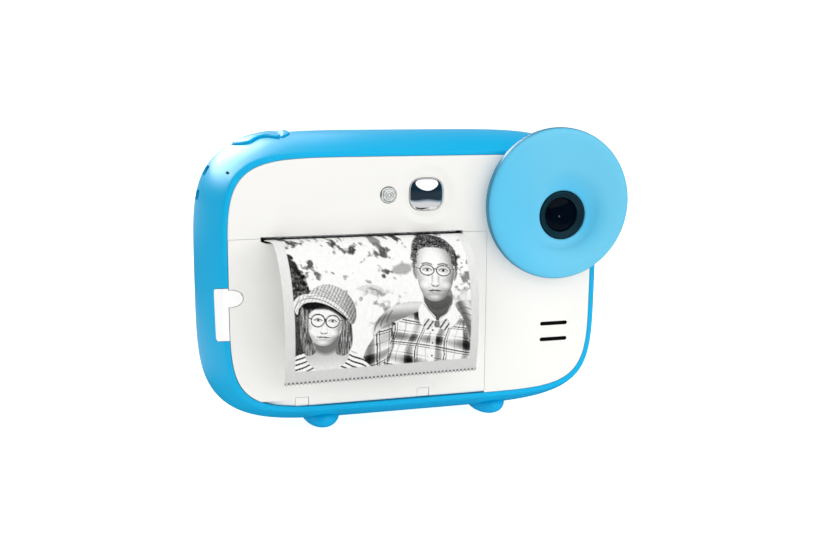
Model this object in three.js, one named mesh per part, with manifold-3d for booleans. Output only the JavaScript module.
// Kids' instant-print digital camera, built as an assembly of separate pieces.
// Millimetres, +Z up, the front faces -Y, +X is right for someone looking at the front.
// Pieces are laid out from the centre of the white front panel: y = 0 is its outer face and +y
// runs into the camera. The camera group moves the origin to the footprint's centre on the table.
import * as THREE from 'three';
import { mergeVertices } from 'three/addons/utils/BufferGeometryUtils.js';
import Module from 'manifold-3d';

const wasm = await Module();
wasm.setup();

// ---------------------------------------------------------------- driving dimensions
// Rounded rectangles: half sizes, corner exponents and centre (x, z)
const PANEL = { halfX: 55.6, halfZ: 36.44, powerX: 7.19, powerZ: 5.07, centre: [0, 0] };
const BODY = { halfX: 63.43, halfZ: 44.2, powerX: 5.115, powerZ: 4.379, centre: [0, -1.066] };
const MIRROR = { halfX: 5.15, halfZ: 4.75, powerX: 3.4, powerZ: 3.4, centre: [2.5, 25.2] };
const SCREEN = { halfX: 28.5, halfZ: 21.5, powerX: 14, powerZ: 12, centre: [12, 2] };

const RIM = 1.355;       // casing rim showing round the panel
const Y_WIDE = 19.84;    // depth of the widest outline, BODY
const Y_BACK = 36;       // depth of the flat back
const BACK_IN = 14.99;   // how far the outline draws in at the back
const FLARE = 1.828;     // flare curve exponent from rim to widest outline
const WALL = 2;          // casing wall
const PANEL_T = 2.2;     // front panel thickness
const SEAM = 0.16;       // half of a seam gap
const FLOOR_Z = -46.9;   // underside of the feet
const ORIGIN_SHIFT = [-0.643, -11.32, -FLOOR_Z];
const OUT_X = -60;       // where cuts end, clear of the panel's left edge
const OUT_Z = -40;       // where cuts end, clear of the panel's lower edge

const SLOT_Z = 13.78;          // height of the paper exit line
const SLOT_X = [-46.3, 13.7];  // exit slot, wider than the paper
const PAPER_X = [-44.8, 12.2]; // paper on the roll
const DOOR_X = 21.4;           // vertical seam at the right of the paper door
const DOOR_SWING = 80;         // degrees the paper door opens
const HINGE = [1.3, -35.05];   // paper door hinge axis along X, (y, z)
const HINGE_EARS = [[-37.1, -33.3], [-0.1, 3.5]]; // x spans
const EAR_NOTCH_TOP = -33.3;

const LED = { centre: [-9.14, 25.3], radius: 2.5 };
const RING_CENTRE = [42.44, 22.11];
const LENS = { centre: [44.69, 18.13], radius: 7.4 };
const SPEAKER = [44, -18.3];
const SCREWS = [[-49.9, -29.3], [49.5, -29.5], [-49.0, 29.0], [50.2, 30.2]]; // (x, z)
const REAR_KEYS = {
  dpad: { centre: [-31.5, 6], radius: 10.7 },
  play: { centre: [-38.8, -15.4], radius: 4.2 },
  menu: { centre: [-24.2, -15.4], radius: 4.2 },
};

// Printer axes run along X, centres are (y, z)
const PLATEN = { centre: [7.2, 8.4], radius: 3.9 };
const MOTOR = [17.0, 27.0];
const ROLL = { centre: [15.5, -14], radius: 12 };
const GEAR_MODULE = 0.6;
const TEETH = { platen: 14, idler: 24, motor: 12 };
const GEAR_X = [17.0, 19.4];

// colour, roughness, metalness
const FINISH = {
  blueCasing: [0x08a5e1, 0.28], blueFoot: [0x08a5e1, 0.35], blueKey: [0x08a5e1, 0.3],
  softBlue: [0x6cc4ea, 0.45], whiteCover: [0xf2f2ef, 0.3], whiteKey: [0xf2f2ef, 0.4],
  portCover: [0xf8f8f6, 0.5], circuitBoard: [0x1d6b3c, 0.5], switchBlack: [0x2a2a2a, 0.4],
  barrel: [0x171d1f, 0.5], frontLens: [0x0a0c10, 0.08], rearLens: [0x7d8f96, 0.08],
  sensor: [0x25282c, 0.3], mirror: [0xd8dadc, 0.05, 1], lamp: [0xd9dcda, 0.1],
  speaker: [0x2a2c2e, 0.4, 0.4], microphone: [0xa9adb0, 0.3, 0.8],
  connector: [0xb4b8ba, 0.3, 0.9], screenGlass: [0x0b0d10, 0.08], lcd: [0x1a1d22, 0.3],
  keyMat: [0x9a9c9e, 0.8], battery: [0x3a6fb0, 0.5], hingePin: [0xb8bcc0, 0.3, 0.9],
  shaft: [0xb8bcc0, 0.25, 1], plasticGear: [0xe8e6df, 0.5], brass: [0xc9a44c, 0.35, 0.8],
  rubber: [0x1c1c1c, 0.8], bush: [0xd9d2bd, 0.5], chassis: [0x9fa5aa, 0.4, 0.8],
  motor: [0x8d9296, 0.35, 0.8], head: [0xa9adb1, 0.35, 0.9], ceramic: [0xd9d2c4, 0.3],
  spring: [0xc4c8cc, 0.3, 1], tearBar: [0xc4c8cc, 0.25, 1], cable: [0xe0e0dc, 0.5],
  bin: [0xe9e9e6, 0.5], paper: [0xf4f4f2, 0.8], print: [0xe4e4e2, 0.7],
  screw: [0x8d9296, 0.3, 1],
};

// ---------------------------------------------------------------- geometry helpers
const vec = (x, y, z) => new THREE.Vector3(x, y, z);
const around = (centre, half) => [centre - half, centre + half];
const widen = ([from, to], by) => [from - by, to + by];
const cut = (body, ...tools) => tools.reduce((rest, tool) => rest.subtract(tool), body);

function solid(geometry) {
  for (const key of Object.keys(geometry.attributes)) {
    if (key !== 'position') geometry.deleteAttribute(key);
  }
  const merged = mergeVertices(geometry, 1e-4);
  return new wasm.Manifold(new wasm.Mesh({
    numProp: 3,
    vertProperties: new Float32Array(merged.attributes.position.array),
    triVerts: new Uint32Array(merged.index.array),
  }));
}

function solidGeometry(manifold) {
  const mesh = manifold.getMesh();
  const geometry = new THREE.BufferGeometry();
  const positions = new Float32Array(mesh.vertProperties);
  geometry.setAttribute('position', new THREE.BufferAttribute(positions, 3));
  geometry.setIndex(new THREE.BufferAttribute(new Uint32Array(mesh.triVerts), 1));
  geometry.computeVertexNormals();
  return geometry;
}

function flipTriangles(indices) {
  for (let i = 0; i < indices.length; i += 3) {
    [indices[i + 1], indices[i + 2]] = [indices[i + 2], indices[i + 1]];
  }
}

// closed skin, turned to face outward if its signed volume is negative
function closedSkin(positions, indices) {
  const point = (i) => vec().fromArray(positions, 3 * i);
  let volume = 0;
  for (let i = 0; i < indices.length; i += 3) {
    const normal = point(indices[i + 1]).cross(point(indices[i + 2]));
    volume += point(indices[i]).dot(normal);
  }
  if (volume < 0) flipTriangles(indices);
  const geometry = new THREE.BufferGeometry();
  geometry.setAttribute('position', new THREE.BufferAttribute(new Float32Array(positions), 3));
  geometry.setIndex(indices);
  return geometry;
}

// band of triangles between two rings of count points, given the index each one starts at
function addBand(indices, ringA, ringB, count) {
  for (let i = 0; i < count; i++) {
    const j = (i + 1) % count;
    indices.push(ringA + i, ringB + i, ringA + j, ringA + j, ringB + i, ringB + j);
  }
}

// skin through rings of equal point count; the ends are capped unless it loops round
function loft(rings, loop = false) {
  const count = rings[0].length;
  const last = rings.length - 1;
  const positions = rings.flat().flatMap((point) => point.toArray());
  const indices = [];
  for (let k = 0; k < (loop ? last + 1 : last); k++) {
    addBand(indices, k * count, ((k + 1) % rings.length) * count, count);
  }
  if (!loop) {
    for (const k of [0, last]) {
      const sum = rings[k].reduce((total, point) => total.add(point), vec(0, 0, 0));
      const hub = positions.length / 3;
      positions.push(...sum.multiplyScalar(1 / count).toArray());
      for (let i = 0; i < count; i++) {
        const edge = [k * count + i, k * count + ((i + 1) % count)];
        indices.push(hub, ...(k === last ? edge.reverse() : edge));
      }
    }
  }
  return closedSkin(positions, indices);
}
const loftSolid = (rings) => solid(loft(rings));

// ring at depth y of a rounded rectangle grown outward by offset
function squircle({ halfX, halfZ, powerX, powerZ, centre }, offset, y, segments = 52) {
  const bulge = (value, power) => Math.sign(value) * Math.abs(value) ** (2 / power);
  return Array.from({ length: segments }, (_, i) => {
    const angle = (2 * Math.PI * (i + 0.5)) / segments;
    return vec(
      centre[0] + (halfX + offset) * bulge(Math.cos(angle), powerX), y,
      centre[1] + (halfZ + offset) * bulge(Math.sin(angle), powerZ));
  });
}

const circle = (centre, radius, y, segments) =>
  squircle({ halfX: radius, halfZ: radius, powerX: 2, powerZ: 2, centre }, 0, y, segments);

// round skin along Y through stations of [radius, y]
const turned = (centre, segments, stations) =>
  loft(stations.map(([radius, y]) => circle(centre, radius, y, segments)));

// solid with the panel's outline through stations of [offset, y]
const panelSolid = (...stations) =>
  loftSolid(stations.map(([offset, y]) => squircle(PANEL, offset, y)));

// box from its x, y and z spans
function box(...spans) {
  const geometry = new THREE.BoxGeometry(...spans.map(([from, to]) => to - from));
  geometry.translate(...spans.map(([from, to]) => (from + to) / 2));
  return solid(geometry);
}

// cylinder along an axis, centred on the other two coordinates
function rod(axis, [u, v], [from, to], radius, segments, endRadius = radius) {
  const geometry = new THREE.CylinderGeometry(endRadius, radius, to - from, segments);
  geometry.translate(0, (from + to) / 2, 0);
  if (axis === 'x') geometry.rotateZ(-Math.PI / 2).translate(0, u, v);
  if (axis === 'y') geometry.translate(u, 0, v);
  if (axis === 'z') geometry.rotateX(Math.PI / 2).translate(u, v, 0);
  return solid(geometry);
}

const tube = (axis, centre, span, [radius, segments], [bore, boreSegments]) =>
  rod(axis, centre, span, radius, segments)
    .subtract(rod(axis, centre, widen(span, 1), bore, boreSegments));

// outline pushed along an axis; its points are (y, z) for 'x', (x, z) for 'y', (x, y) for 'z'
function prism(axis, outline, [from, to]) {
  const place = {
    x: ([p, q], height) => [height, p, q],
    y: ([p, q], height) => [p, height, q],
    z: ([p, q], height) => [p, q, height],
  }[axis];
  const count = outline.length;
  const contour = outline.map(([p, q]) => new THREE.Vector2(p, q));
  const triangles = THREE.ShapeUtils.triangulateShape(contour, []);
  const positions = [from, to].flatMap((height) => outline.flatMap((p) => place(p, height)));
  const indices = [];
  for (const [i, j, k] of triangles) indices.push(i, j, k, count + i, count + k, count + j);
  // caps must wind the same way as the outline, which the sides follow
  const [a, b, c] = triangles[0].map((i) => contour[i]);
  const capTurn = b.clone().sub(a).cross(c.clone().sub(a));
  if (Math.sign(capTurn) !== Math.sign(THREE.ShapeUtils.area(contour))) flipTriangles(indices);
  addBand(indices, 0, count, count);
  return solid(closedSkin(positions, indices));
}

const root = new THREE.Group();
const camera = new THREE.Group();
camera.position.set(...ORIGIN_SHIFT);
root.add(camera);

// adds a named mesh made from a solid or from a plain geometry
function piece(name, shape, [color, roughness, metalness = 0]) {
  const mesh = new THREE.Mesh(
    shape.getMesh ? solidGeometry(shape) : shape,
    new THREE.MeshStandardMaterial({ color, roughness, metalness }));
  mesh.name = name;
  camera.add(mesh);
}

// ---------------------------------------------------------------- casing surfaces
// outline of the casing at depth y, grown outward by offset
function casingRing(y, offset) {
  if (y <= Y_WIDE) {
    const blend = 1 - (1 - y / Y_WIDE) ** FLARE;
    const wide = squircle(BODY, offset, y);
    return squircle(PANEL, RIM + offset, y).map((point, i) =>
      point.multiplyScalar(1 - blend).add(wide[i].multiplyScalar(blend)).setY(y));
  }
  const t = Math.min(1, (y - Y_WIDE) / (Y_BACK - Y_WIDE));
  const drawIn = BACK_IN * (1 - Math.sqrt(1 - t * t));
  return squircle(BODY, offset - drawIn, y);
}

// rings from behind the widest outline to the back, which also moves by offset
const backRings = (offset) => [0.4, 0.7, 0.9, 1].map((t) =>
  casingRing(Y_WIDE + t * (Y_BACK - Y_WIDE), offset)
    .map((point) => point.setY(Y_WIDE + t * (Y_BACK + offset - Y_WIDE))));

// whole casing as a solid, extended straight forward when yFront is negative
function casing(offset, yFront = 0) {
  const rings = [0, 2.5, 6, 11, Y_WIDE].map((y) => casingRing(y, offset));
  if (yFront < 0) rings.unshift(casingRing(0, offset).map((point) => point.setY(yFront)));
  return loftSolid([...rings, ...backRings(offset)]);
}

// ---------------------------------------------------------------- shared openings
// Cloud-shaped long shutter key and short power key, outlines in (x, y).
// switchAt is the (x, y) of the switch and of the stem above it.
const TOP_KEYS = [
  {
    name: 'shutter', gap: 0.25, switchAt: [-44.6, 18.5], stemTop: 40.8,
    outline: [
      [-51.2, 17.5], [-50.4, 15.6], [-49.2, 13.6], [-47.8, 12.5], [-46.7, 12.5], [-45.5, 13.9],
      [-44.2, 15.1], [-42.8, 15.0], [-41.5, 14.0], [-40.4, 12.5], [-39.4, 11.5], [-38.55, 11.2],
      [-38.55, 23.4], [-39.6, 23.9], [-41.0, 23.9], [-42.6, 23.2], [-44.2, 23.1], [-46.0, 23.9],
      [-47.8, 24.1], [-49.6, 23.1], [-50.8, 21.4], [-51.3, 19.4],
    ],
  },
  {
    name: 'power', gap: 0.22, switchAt: [-36.7, 17.5], stemTop: 42.3,
    outline: [
      [-38.05, 11.3], [-37.0, 12.1], [-36.0, 13.3], [-35.4, 14.8], [-35.2, 17.0],
      [-35.3, 19.6], [-35.8, 21.6], [-36.8, 22.9], [-38.05, 23.3],
    ],
  },
];
const TOP_KEY_Z = [30, 50]; // height span that takes in the keys and the casing top

// pushes an outline outward along its corner normals
function growOutline(points, distance) {
  const count = points.length;
  const turn = Math.sign(THREE.ShapeUtils.area(points.map(([x, y]) => ({ x, y }))));
  const normal = (a, b) => {
    const length = Math.hypot(b[0] - a[0], b[1] - a[1]) * turn;
    return [(b[1] - a[1]) / length, (a[0] - b[0]) / length];
  };
  return points.map((point, i) => {
    const before = normal(points[(i + count - 1) % count], point);
    const after = normal(point, points[(i + 1) % count]);
    const scale = distance / (1 + before[0] * after[0] + before[1] * after[1]);
    return point.map((value, k) => value + (before[k] + after[k]) * scale);
  });
}

// Port cover on the left flank: heights at the panel face, and its rear corners in (y, z)
const PORT_COVER = { top: 0.05, bottom: -15.05, rearTop: [4.1, -0.7], rearBottom: [3.75, -15.9] };
function portCoverBlock(offset, yFront) {
  const { rearTop, rearBottom } = PORT_COVER;
  const top = PORT_COVER.top + offset;
  const bottom = PORT_COVER.bottom - offset;
  return prism('x', [
    [yFront, top], [0, top], [rearTop[0] + offset, rearTop[1] + offset],
    [rearBottom[0] + offset, rearBottom[1] - offset], [0, bottom], [yFront, bottom],
  ], [-70, -50]);
}

const screenBlock = (offset, span) => loftSolid(span.map((y) => squircle(SCREEN, offset, y, 24)));

// D-shaped finger notch in the left edge of the paper door
const NOTCH = { x: -55.2, z: -2.95, reach: 3.75, halfHeight: 2.6, power: 2.3 };
function fingerNotch(offset) {
  const reach = NOTCH.reach + offset;
  const half = NOTCH.halfHeight + offset;
  const round = (value) => Math.sign(value) * Math.abs(value) ** (2 / NOTCH.power);
  return loftSolid([-2, 3].map((y) => {
    const ring = [vec(OUT_X, y, NOTCH.z + half), vec(NOTCH.x, y, NOTCH.z + half)];
    for (let i = 1; i < 9; i++) {
      const angle = Math.PI / 2 - (i * Math.PI) / 9;
      const x = NOTCH.x + reach * round(Math.cos(angle));
      ring.push(vec(x, y, NOTCH.z + half * round(Math.sin(angle))));
    }
    ring.push(vec(NOTCH.x, y, NOTCH.z - half), vec(OUT_X, y, NOTCH.z - half));
    return ring;
  }));
}

// ---------------------------------------------------------------- body shell (blue tub)
function bodyShell() {
  const inner = loftSolid([
    squircle(PANEL, 0.2, -1), squircle(PANEL, 0.2, 3.2), casingRing(6.5, -WALL - 0.1),
    casingRing(11, -WALL), casingRing(Y_WIDE, -WALL), ...backRings(-WALL),
  ]);
  let shell = casing(0).subtract(inner);
  const core = casing(-0.7, -1); // keeps the bosses inside the outer skin
  for (const at of SCREWS) {
    shell = shell.add(rod('y', at, [16.3, 34.8], 2.6, 16).intersect(core));
  }
  for (const at of SCREWS) { // shank hole, then head recess
    shell = cut(shell, rod('y', at, [15, 32], 1.25, 14), rod('y', at, [31, 40], 2.1, 14));
  }
  shell = cut(shell, portCoverBlock(0.2, -2));
  for (const { outline, gap } of TOP_KEYS) {
    shell = cut(shell, prism('z', growOutline(outline, gap), TOP_KEY_Z));
  }
  // screen opening with a ledge for the window
  shell = cut(shell, screenBlock(-2.2, [33, 37]), screenBlock(0.15, [34.2, 37]));
  for (const [name, gap, segments] of [['dpad', 0.35, 28], ['play', 0.3, 20], ['menu', 0.3, 20]]) {
    const { centre, radius } = REAR_KEYS[name];
    shell = cut(shell, rod('y', centre, [33, 37], radius + gap, segments));
  }
  // two strap slots with a bar between them in the left shoulder
  for (const z of [[30.2, 33.2], [23.2, 26.3]]) {
    shell = cut(shell, box([-70, -54], [13.8, 20.2], z));
  }
  const microphoneHole = rod('y', [-54.6, 32.2], [-1, 9], 0.45, 8);
  return cut(shell, microphoneHole);
}
piece('body_shell', bodyShell(), FINISH.blueCasing);

// ---------------------------------------------------------------- front cover (white)
function frontCover() {
  const toEdge = (xEnd, y, zEnd) => box([OUT_X, xEnd], y, [OUT_Z, zEnd]);
  let cover = panelSolid([-0.55, 0], [-0.12, 0.16], [0, 0.6], [0, 6])
    .subtract(panelSolid([-1.5, PANEL_T], [-1.5, 7]));
  // door opening with a frame behind it
  const ledge = panelSolid([-0.8, 2.4], [-0.8, 4])
    .intersect(toEdge(DOOR_X + 2.5, [2.4, 4], SLOT_Z + 3));
  cover = cut(cover, toEdge(DOOR_X + SEAM, [-1, 2.4], SLOT_Z + SEAM)).add(ledge);
  cover = cut(cover,
    box([-51, 20.4], [1, 7], [-33, SLOT_Z + SEAM]),
    box(SLOT_X, [-1, 3], [13, SLOT_Z + 0.45]), // paper exit lip
    toEdge(DOOR_X + SEAM, [1, 2.8], EAR_NOTCH_TOP));
  // hinge ears in the door's lower edge
  const [hingeY, hingeZ] = HINGE;
  for (const span of HINGE_EARS) {
    const ear = rod('x', HINGE, span, 1.25, 16)
      .add(box(span, [hingeY, 3.4], [hingeZ - 1.2, hingeZ + 1.6]));
    cover = cover.add(ear.intersect(panelSolid([-0.03, -1], [-0.03, 5])));
  }
  cover = cut(cover, rod('x', HINGE, [-39.6, 8], 0.56, 10));
  // screw posts; the lower left one starts deeper
  const within = panelSolid([-0.5, 1], [-0.5, 17]);
  for (const at of SCREWS) {
    const front = at[0] < 0 && at[1] < 0 ? 2.5 : 2;
    cover = cover.add(rod('y', at, [front, 16], 2.3, 14).intersect(within));
    cover = cut(cover, rod('y', at, [5, 17], 1.12, 10));
  }
  cover = cut(cover,
    box([OUT_X, -51.2], [1.5, 7], [-15.3, 0.3]), // port window in the skirt
    loftSolid([-1, 4].map((y) => squircle(MIRROR, 0.2, y, 24))),
    rod('y', MIRROR.centre, [-0.5, 0.6], 9.2, 28, 5.9), // dish round the mirror
    rod('y', LED.centre, [-1, 4], LED.radius + 0.15, 20),
    rod('y', LENS.centre, [-1, 8], LENS.radius + 0.5, 28));
  // round-ended speaker slots
  const slotX = [40, 47.9];
  for (const z of [-15.85, -20.84]) {
    cover = cut(cover, box(slotX, [-1, 4], around(z, 0.5)),
      ...slotX.map((x) => rod('y', [x, z], [-1, 4], 0.5, 10)));
  }
  return cover;
}
piece('front_cover', frontCover(), FINISH.whiteCover);

// ---------------------------------------------------------------- paper door (white)
// Towards the corner the casing's rim stands higher than the hinge, so the door's lower edge
// is relieved in strips where it swings past the rim.
function relieveSwing(door) {
  const gap = 0.06;
  const stripWidth = 1.5;
  const turnStep = 8;
  const halfX = PANEL.halfX + 0.2;
  const halfZ = PANEL.halfZ + 0.2;
  for (let x = -48.5; x < -35; x += stripWidth) {
    const drop = (1 - (-x / halfX) ** PANEL.powerX) ** (1 / PANEL.powerZ);
    const rim = -halfZ * drop - HINGE[1];
    for (let turn = turnStep; turn <= DOOR_SWING; turn += turnStep) {
      door = door.subtract(box([x, x + stripWidth], [-HINGE[0] - gap, 6], [-6, rim + gap])
        .rotate([-turn, 0, 0]).translate([0, ...HINGE]));
    }
  }
  return door;
}

function paperDoor() {
  const right = DOOR_X - SEAM;
  let door = panelSolid([-0.6, 0], [-0.2, 0.16], [-0.1, 0.6], [-0.1, 2.1])
    .intersect(box([OUT_X, right], [-1, 3], [OUT_Z, SLOT_Z - SEAM]));
  // thicker, rounded lower edge that carries the hinge
  door = cut(door, box([OUT_X, 40], [-1, 3], [OUT_Z, HINGE[1]]))
    .add(rod('x', HINGE, [-43.8, right], 1.28, 16))
    .intersect(panelSolid([-0.12, -1], [-0.12, 4]));
  door = cut(door, fingerNotch(0),
    ...HINGE_EARS.map((span) => box(widen(span, 0.2), [-1, 3], [OUT_Z, EAR_NOTCH_TOP])),
    rod('x', HINGE, [-39.6, 25], 0.62, 10));
  door = relieveSwing(door);
  // lead-out recess for the paper, with slanted ends
  const [left, slotRight] = SLOT_X;
  door = cut(door, prism('y', [
    [left, 14], [left, 12.9], [left + 1.4, 12.0],
    [slotRight - 1.4, 12.0], [slotRight, 12.9], [slotRight, 14],
  ], [-1, 3]));
  // arms that carry the roller, outline in (y, z)
  const arm = [
    [2.0, 2.0], [7.2, 5.2], [9.4, 6.6], [10.4, 8.4], [9.5, 10.6], [7.2, 11.4], [5.0, 11.0], [2.0, 12.6],
  ];
  for (const span of [[-49.2, -47.5], [14.6, 16.2]]) {
    door = door.add(prism('x', arm, span));
    door = cut(door, rod('x', PLATEN.centre, widen(span, 1), 1.95, 16));
  }
  // snap tabs
  for (const span of [[-50.6, -49.6], [19.6, 20.2]]) {
    door = door.add(box(span, [2.0, 4.6], [10.4, 12.6]));
  }
  return door;
}
piece('paper_door', paperDoor(), FINISH.whiteCover);
piece('hinge_pin', rod('x', HINGE, [-39.4, 7.6], 0.5, 10), FINISH.hingePin);

// ---------------------------------------------------------------- lens ring, lens and sensor
// depth, radius, share of the way from ring centre to lens centre
const RING_PROFILE = [
  [-0.05, 8.4, 1], [-0.05, 13.2, 0.3], [-1.3, 13.6, 0.2], [-2.0, 17.4, 0.1], [-2.5, 20.6, 0],
  [-3.4, 21.9, 0], [-4.4, 22.3, 0], [-5.3, 21.8, 0], [-5.75, 20.6, 0], [-5.55, 18.0, 0.15],
  [-4.7, 14.2, 0.45], [-3.4, 10.6, 0.8], [-2.5, 8.6, 1], [-2.2, 7.85, 1], [-0.6, 7.85, 1],
];
piece('lens_ring', loft(RING_PROFILE.map(([y, radius, share]) => {
  const centre = RING_CENTRE.map((value, k) => value + (LENS.centre[k] - value) * share);
  return circle(centre, radius, y, 40);
}), true), FINISH.softBlue);

const [LENS_X, LENS_Z] = LENS.centre;
const lensRod = (...size) => rod('y', LENS.centre, ...size);
piece('lens_barrel', cut(
  lensRod([-2.5, 9.6], LENS.radius, 28),
  lensRod([-3, -1.4], 6.4, 28, 5.4), // flared mouth
  lensRod([-1.6, 0.4], 5.3, 28),
  lensRod([0.3, 2.4], 3.4, 20),
  lensRod([2.3, 10], 4.6, 20)), FINISH.barrel);

const lensDome = (radius, { edge, top, back }, segments) =>
  solid(turned(LENS.centre, segments, [
    [radius, back], [radius, edge], [radius * 0.75, edge + (top - edge) * 0.6], [radius * 0.35, top],
  ]));
piece('front_lens', lensDome(5.1, { edge: -0.7, top: -1.4, back: 0.2 }, 20), FINISH.frontLens);
piece('rear_lens', lensDome(4.4, { edge: 4.0, top: 3.2, back: 5.2 }, 18), FINISH.rearLens);
piece('image_sensor', box(around(LENS_X, 3.2), [7.6, 9.5], around(LENS_Z, 2.6)), FINISH.sensor);
piece('sensor_board', box(around(LENS_X, 8.2), [9.7, 10.7], around(LENS_Z, 8.2)),
  FINISH.circuitBoard);

// ---------------------------------------------------------------- mirror, lamp, speaker, microphone
// domed selfie mirror through stations of [share of full size, y]
piece('selfie_mirror', loft(
  [[1, 2.6], [1, 0.75], [0.93, 0.4], [0.7, 0.1], [0.35, -0.1]].map(([share, y]) => {
    const size = { halfX: MIRROR.halfX * share, halfZ: MIRROR.halfZ * share };
    return squircle({ ...MIRROR, ...size }, 0, y, 24);
  })), FINISH.mirror);
piece('lamp_lens', turned(LED.centre, 16,
  [[1, 3.4], [1, 0.1], [0.8, -0.3], [0.45, -0.5]].map(([share, y]) => [LED.radius * share, y])),
FINISH.lamp);
piece('lamp_board', box(around(LED.centre[0], 5), [3.7, 4.7], around(LED.centre[1], 4.5)),
  FINISH.circuitBoard);
piece('speaker', rod('y', SPEAKER, [2.4, 4.0], 9.3, 28)
  .add(rod('y', SPEAKER, [3.9, 7.2], 6.2, 24)), FINISH.speaker);
piece('microphone', rod('y', [-52.4, 30.8], [6.4, 8.4], 1.2, 12), FINISH.microphone);

// ---------------------------------------------------------------- feet
// half ellipsoids with a flat underside, shaped to the casing above
function foot(x) {
  const ellipsoid = new THREE.SphereGeometry(1, 22, 14);
  ellipsoid.scale(5.2, 11.5, 4.4).translate(x, 16, FLOOR_Z + 4.1);
  return solid(ellipsoid)
    .intersect(box(around(x, 10), [-5, 40], [FLOOR_Z, FLOOR_Z + 6]))
    .subtract(casing(0.06, -1));
}
piece('foot_left', foot(-27), FINISH.blueFoot);
piece('foot_right', foot(27), FINISH.blueFoot);

// ---------------------------------------------------------------- port cover, ports
function portCover() {
  const panelRoom = loftSolid([
    squircle(PANEL, 0.15, -1), squircle(PANEL, 0.15, 2.6), casingRing(6, -1.5), casingRing(11, -1.5),
  ]);
  // tongue that laps over the panel edge into the door's notch
  const tongue = fingerNotch(-0.2).intersect(box([-57.3, -50], [-0.25, 1.25], [-8, 2]));
  return casing(0.12).subtract(casing(-1.35, -1)).intersect(portCoverBlock(0, -0.1))
    .subtract(panelRoom).add(tongue);
}
piece('port_cover', portCover(), FINISH.portCover);
piece('usb_connector', box([-56.3, -52.0], [2.2, 4.4], [-9.6, -2.0]), FINISH.connector);
piece('port_board', box([-55.2, -48.2], [4.5, 5.3], [-14.6, -0.6]), FINISH.circuitBoard);
piece('reset_switch', box([-55.0, -52.0], [2.3, 4.4], [-13.9, -11.1])
  .add(rod('x', [3.35, -12.5], [-56.2, -54.9], 0.6, 12)), FINISH.switchBlack);

// ---------------------------------------------------------------- top keys and their switches
const keySkin = casing(0.85, -1).subtract(casing(-1.3, -2));
for (const { name, outline, switchAt, stemTop } of TOP_KEYS) {
  piece(`${name}_key`, keySkin.intersect(prism('z', outline, TOP_KEY_Z))
    .add(rod('z', switchAt, [37.9, stemTop], 1.1, 12)), FINISH.blueKey);
}
piece('top_switch_board', box([-50, -31], [10.5, 25.5], [32.0, 32.9]), FINISH.circuitBoard);
for (const { name, switchAt } of TOP_KEYS) {
  const [x, y] = switchAt;
  piece(`${name}_switch`, box(around(x, 3), around(y, 3), [33.0, 35.6])
    .add(rod('z', switchAt, [35.5, 36.9], 1.4, 12)), FINISH.switchBlack);
}

// ---------------------------------------------------------------- rear: screen and keys
piece('screen_window', screenBlock(0, [34.35, 36.0]), FINISH.screenGlass);
piece('lcd_panel', box(around(SCREEN.centre[0], 26), [31.4, 33.8], around(SCREEN.centre[1], 19)),
  FINISH.lcd);

// round rear key: hidden flange, then stations of [change in radius, y] over the cap
function rearKey({ centre, radius }, segments, flange, cap) {
  const stations = [[flange, 31.9], [flange, 33.1], [0, 33.2], ...cap];
  return turned(centre, segments, stations.map(([change, y]) => [radius + change, y]));
}
const { dpad } = REAR_KEYS;
piece('dpad_key', solid(rearKey(dpad, 28, 1.2, [[0, 36.3], [-0.8, 36.9], [-3.5, 37.0], [-5.5, 36.5]]))
  .subtract(rod('y', dpad.centre, [30, 40], 4.75, 20)), FINISH.softBlue);
piece('ok_key', turned(dpad.centre, 20, [[4.3, 31.9], [4.3, 36.2], [3.7, 36.7], [2, 36.85]]),
  FINISH.whiteKey);
for (const name of ['play', 'menu']) {
  piece(`${name}_key`, rearKey(REAR_KEYS[name], 20, 0.9, [[0, 36.4], [-0.6, 36.9], [-2.2, 37.0]]),
    FINISH.softBlue);
}
piece('key_mat', box([-44.5, -18], [30.85, 31.15], [-22, 19]), FINISH.keyMat);
piece('main_board', box([-43.5, 44.5], [29.3, 30.6], [-30, 30.5]), FINISH.circuitBoard);
piece('battery_pack', box([25, 53], [11.5, 23], [-26, 5]), FINISH.battery);

// ---------------------------------------------------------------- printer gears
// The idler sits where it meshes with both the platen gear and the motor pinion.
function idlerCentre() {
  const dy = MOTOR[0] - PLATEN.centre[0];
  const dz = MOTOR[1] - PLATEN.centre[1];
  const distance = Math.hypot(dy, dz);
  const meshDistance = (teeth) => ((teeth + TEETH.idler) * GEAR_MODULE) / 2 + 0.06;
  const toPlaten = meshDistance(TEETH.platen);
  const toMotor = meshDistance(TEETH.motor);
  const along = (toPlaten ** 2 - toMotor ** 2 + distance ** 2) / (2 * distance);
  const aside = Math.sqrt(toPlaten ** 2 - along ** 2);
  return [
    PLATEN.centre[0] + (dy * along + dz * aside) / distance,
    PLATEN.centre[1] + (dz * along - dy * aside) / distance,
  ];
}
const IDLER = idlerCentre();

// trapezoid teeth on a pitch circle, thinned for backlash
function gear(teeth, centre, bore, phase, span) {
  const pitchRadius = (teeth * GEAR_MODULE) / 2;
  const tip = pitchRadius + 0.9 * GEAR_MODULE;
  const foot = pitchRadius - 1.2 * GEAR_MODULE;
  const tooth = [[-0.285, foot], [-0.12, tip], [0.12, tip], [0.285, foot]]; // [share of pitch, radius]
  const pitch = (2 * Math.PI) / teeth;
  const outline = [];
  for (let i = 0; i < teeth; i++) {
    for (const [share, radius] of tooth) {
      const angle = phase + i * pitch + share * pitch;
      outline.push([radius * Math.cos(angle), radius * Math.sin(angle)]);
    }
  }
  return prism('x', outline, span).subtract(rod('x', [0, 0], widen(span, 1), bore, 14))
    .translate([0, ...centre]);
}

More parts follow.
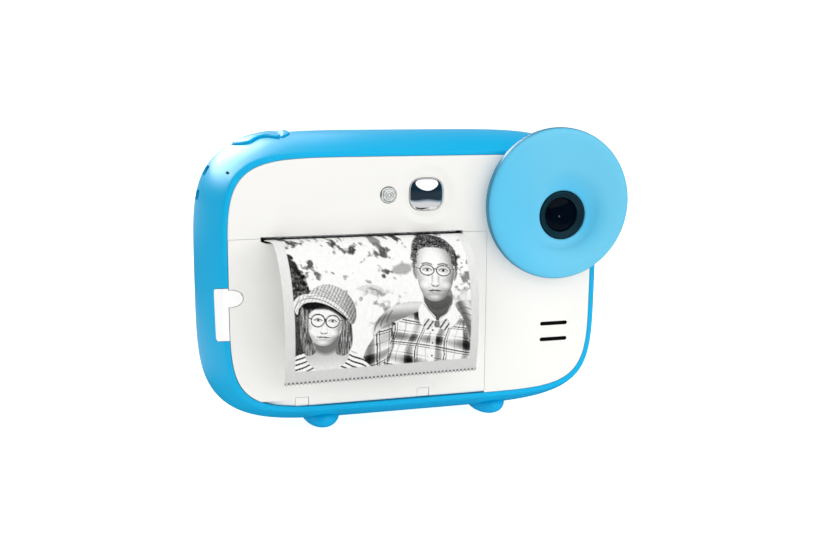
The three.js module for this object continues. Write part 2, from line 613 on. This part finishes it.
function addGears() {
  const direction = (from, to) => Math.atan2(to[1] - from[1], to[0] - from[0]);
  const pitch = (teeth) => (2 * Math.PI) / teeth;
  const toIdler = direction(PLATEN.centre, IDLER);
  const toMotor = direction(IDLER, MOTOR);
  // an idler tooth points at the platen gear, whose gap faces it
  const idlerPhase = toIdler + Math.PI;
  const platenPhase = toIdler + pitch(TEETH.platen) / 2;
  // the pinion is turned to suit where the idler teeth stand toward the motor
  const steps = (toMotor - idlerPhase) / pitch(TEETH.idler);
  const motorPhase = toMotor + Math.PI + (0.5 + steps - Math.floor(steps)) * pitch(TEETH.motor);
  piece('platen_gear', gear(TEETH.platen, PLATEN.centre, 1.06, platenPhase, GEAR_X),
    FINISH.plasticGear);
  piece('idler_gear', gear(TEETH.idler, IDLER, 1.15, idlerPhase, widen(GEAR_X, -0.1)),
    FINISH.plasticGear);
  piece('motor_pinion', gear(TEETH.motor, MOTOR, 0.82, motorPhase, widen(GEAR_X, 0.1)),
    FINISH.brass);
}
addGears();

// ---------------------------------------------------------------- platen, chassis and head
piece('platen_roller', tube('x', PLATEN.centre, [-45.0, 12.4], [PLATEN.radius, 28], [1.06, 14]),
  FINISH.rubber);
piece('platen_shaft', rod('x', PLATEN.centre, [-49.8, 19.9], 1.0, 14), FINISH.shaft);
for (const [side, span] of [['left', [-49.4, -47.1]], ['right', [14.2, 16.5]]]) {
  piece(`platen_bush_${side}`, tube('x', PLATEN.centre, span, [1.85, 16], [1.1, 14]), FINISH.bush);
}

// back plate, left end plate and the taller right side plate, outlined in (y, z)
function printerChassis() {
  const sidePlate = [
    [11.2, 4.0], [19.4, 4.0], [19.4, 9.0], [24.4, 17.0],
    [24.4, 34.4], [9.6, 34.4], [9.6, 19.0], [11.2, 14.0],
  ];
  const frame = box([-48, 14.2], [18.4, 19.4], [4.0, 19.2])
    .add(box([-48, -47], [12.2, 19.4], [4.0, 19.2]))
    .add(prism('x', sidePlate, [13.2, 14.2]));
  return cut(frame, rod('x', MOTOR, [12, 16], 2.2, 16), rod('x', IDLER, [12, 16], 0.95, 12));
}
piece('printer_chassis', printerChassis(), FINISH.chassis);
piece('idler_pin', rod('x', IDLER, [12.7, 20.0], 0.9, 12), FINISH.shaft);
piece('printer_motor', rod('x', MOTOR, [-1, 13.0], 7.4, 26)
  .add(rod('x', MOTOR, [12.9, 14.9], 1.9, 16))
  .add(rod('x', MOTOR, [14.8, 19.8], 0.75, 12)), FINISH.motor);
piece('thermal_head', box([-44.6, 12.2], [12.15, 14.5], [6.0, 17.6]), FINISH.head);
piece('head_ceramic', box([-44.0, 11.6], [11.6, 12.1], [6.4, 12.4]), FINISH.ceramic);

// coil springs behind the thermal head, along Y
const SPRING = { radius: 1.6, turns: 3.5, y: 14.75, length: 3.35, z: 10.5, wire: 0.2 };
class Helix extends THREE.Curve {
  getPoint(t, out = vec(0, 0, 0)) {
    const angle = t * 2 * Math.PI * SPRING.turns;
    return out.set(SPRING.radius * Math.cos(angle), SPRING.y + SPRING.length * t,
      SPRING.radius * Math.sin(angle));
  }
}
function headSpring(x) {
  const wire = new THREE.Shape(Array.from({ length: 5 }, (_, i) => {
    const angle = (i * 2 * Math.PI) / 5;
    return new THREE.Vector2(SPRING.wire * Math.cos(angle), SPRING.wire * Math.sin(angle));
  }));
  wire.closePath();
  const path = { steps: 32, bevelEnabled: false, extrudePath: new Helix() };
  return solid(new THREE.ExtrudeGeometry(wire, path).translate(x, 0, SPRING.z));
}
piece('head_spring_left', headSpring(-32), FINISH.spring);
piece('head_spring_right', headSpring(0), FINISH.spring);

// saw-toothed bar on the exit line, teeth toward the front
function tearBar() {
  const [left, right] = [-45, 12];
  const count = 24;
  const pitch = (right - left) / count;
  const valleyY = 1.1;
  const outline = [];
  for (let i = 0; i < count; i++) {
    const x = left + i * pitch;
    outline.push([x, valleyY], [x + pitch / 2, 0.4]);
  }
  outline.push([right, valleyY], [right, 2.9], [left, 2.9]);
  return prism('z', outline, [SLOT_Z, SLOT_Z + 0.4]);
}
piece('tear_bar', tearBar(), FINISH.tearBar);

// flat cable that steps over the chassis back plate
function headCable() {
  const width = [-26, -6];
  return box(width, [14.7, 28.9], [17.9, 18.1])
    .subtract(box(widen(width, 1), [18.2, 19.6], [17, 19]))
    .add(box(width, [18.1, 19.7], [19.4, 19.6]))
    .add(box(width, [17.9, 18.2], [17.9, 19.6]))
    .add(box(width, [19.6, 19.9], [17.9, 19.6]));
}
piece('head_cable', headCable(), FINISH.cable);

// ---------------------------------------------------------------- paper bin, roll, web, sheet
function paperBin() {
  const width = [-47.2, 14.0];
  const tray = box(width, [2.9, 28.7], [-32.6, 1.5])
    .subtract(box(widen(width, -1), [1, 27.7], [-30.8, 5]));
  // curved cradle floor under the roll
  const cradle = box(width, [6, 27.7], [-31, -22])
    .subtract(rod('x', ROLL.centre, widen(width, 1), 13.2, 36));
  const hingeRoom = box(widen(width, 1), [1, 6.6], [-34, -30]);
  return tray.add(cradle).subtract(hingeRoom);
}
piece('paper_bin', paperBin(), FINISH.bin);
piece('paper_roll', tube('x', ROLL.centre, PAPER_X, [ROLL.radius, 36], [4, 20]), FINISH.paper);

// outline in (y, z) of a strip of given thickness along its mid line
function stripOutline(path, thickness) {
  const half = thickness / 2;
  const left = [];
  const right = [];
  path.forEach(([y, z], i) => {
    const before = path[Math.max(0, i - 1)];
    const after = path[Math.min(path.length - 1, i + 1)];
    const length = Math.hypot(after[0] - before[0], after[1] - before[1]);
    const ny = -(after[1] - before[1]) / length;
    const nz = (after[0] - before[0]) / length;
    left.push([y + ny * half, z + nz * half]);
    right.push([y - ny * half, z - nz * half]);
  });
  return left.concat(right.reverse());
}

// point of the paper path round the platen, at an angle in degrees
function platenWrap(degrees) {
  const radius = PLATEN.radius + 0.25;
  const angle = (degrees * Math.PI) / 180;
  const [y, z] = PLATEN.centre;
  return [y + radius * Math.cos(angle), z + radius * Math.sin(angle)];
}

// mid lines in (y, z): from the roll to the platen, then out through the slot and curling down
const WEB_PATH = [
  [23.35, -4.2], [17.4, 0.45], [13.2, 3.4], [11.75, 5.2], [11.35, 6.8],
  ...[0, 12, 24, 36, 46].map(platenWrap),
];
const SHEET_PATH = [
  ...[52, 64, 76, 90].map(platenWrap), [4.2, 12.95], [1.5, 13.2],
  [0, 13.4], [-2.6, 13.35], [-4.9, 12.95], [-7.1, 11.8], [-9.08, 10.29], [-10.7, 8.4],
  [-11.99, 6.26], [-12.95, 4.0], [-13.63, 1.56], [-14.05, -0.9], [-14.21, -3.39], [-14.15, -5.9],
  [-14.0, -8.37], [-13.23, -13.3], [-12.06, -18.15], [-10.59, -22.92], [-9.15, -26.8],
];
piece('paper_web', prism('x', stripOutline(WEB_PATH, 0.2), PAPER_X), FINISH.paper);
piece('printed_sheet', prism('x', stripOutline(SHEET_PATH, 0.3), [-43.4, 13.6]), FINISH.print);

// ---------------------------------------------------------------- case screws
const caseScrew = (at) => rod('y', at, [31.05, 32.6], 1.9, 14)
  .add(rod('y', at, [7.5, 31.2], 1.0, 10))
  .subtract(box(around(at[0], 1.3), [32, 33], around(at[1], 0.25)));
SCREWS.forEach((at, i) => piece(`case_screw_${i + 1}`, caseScrew(at), FINISH.screw));

root.updateMatrixWorld(true);
export default root;
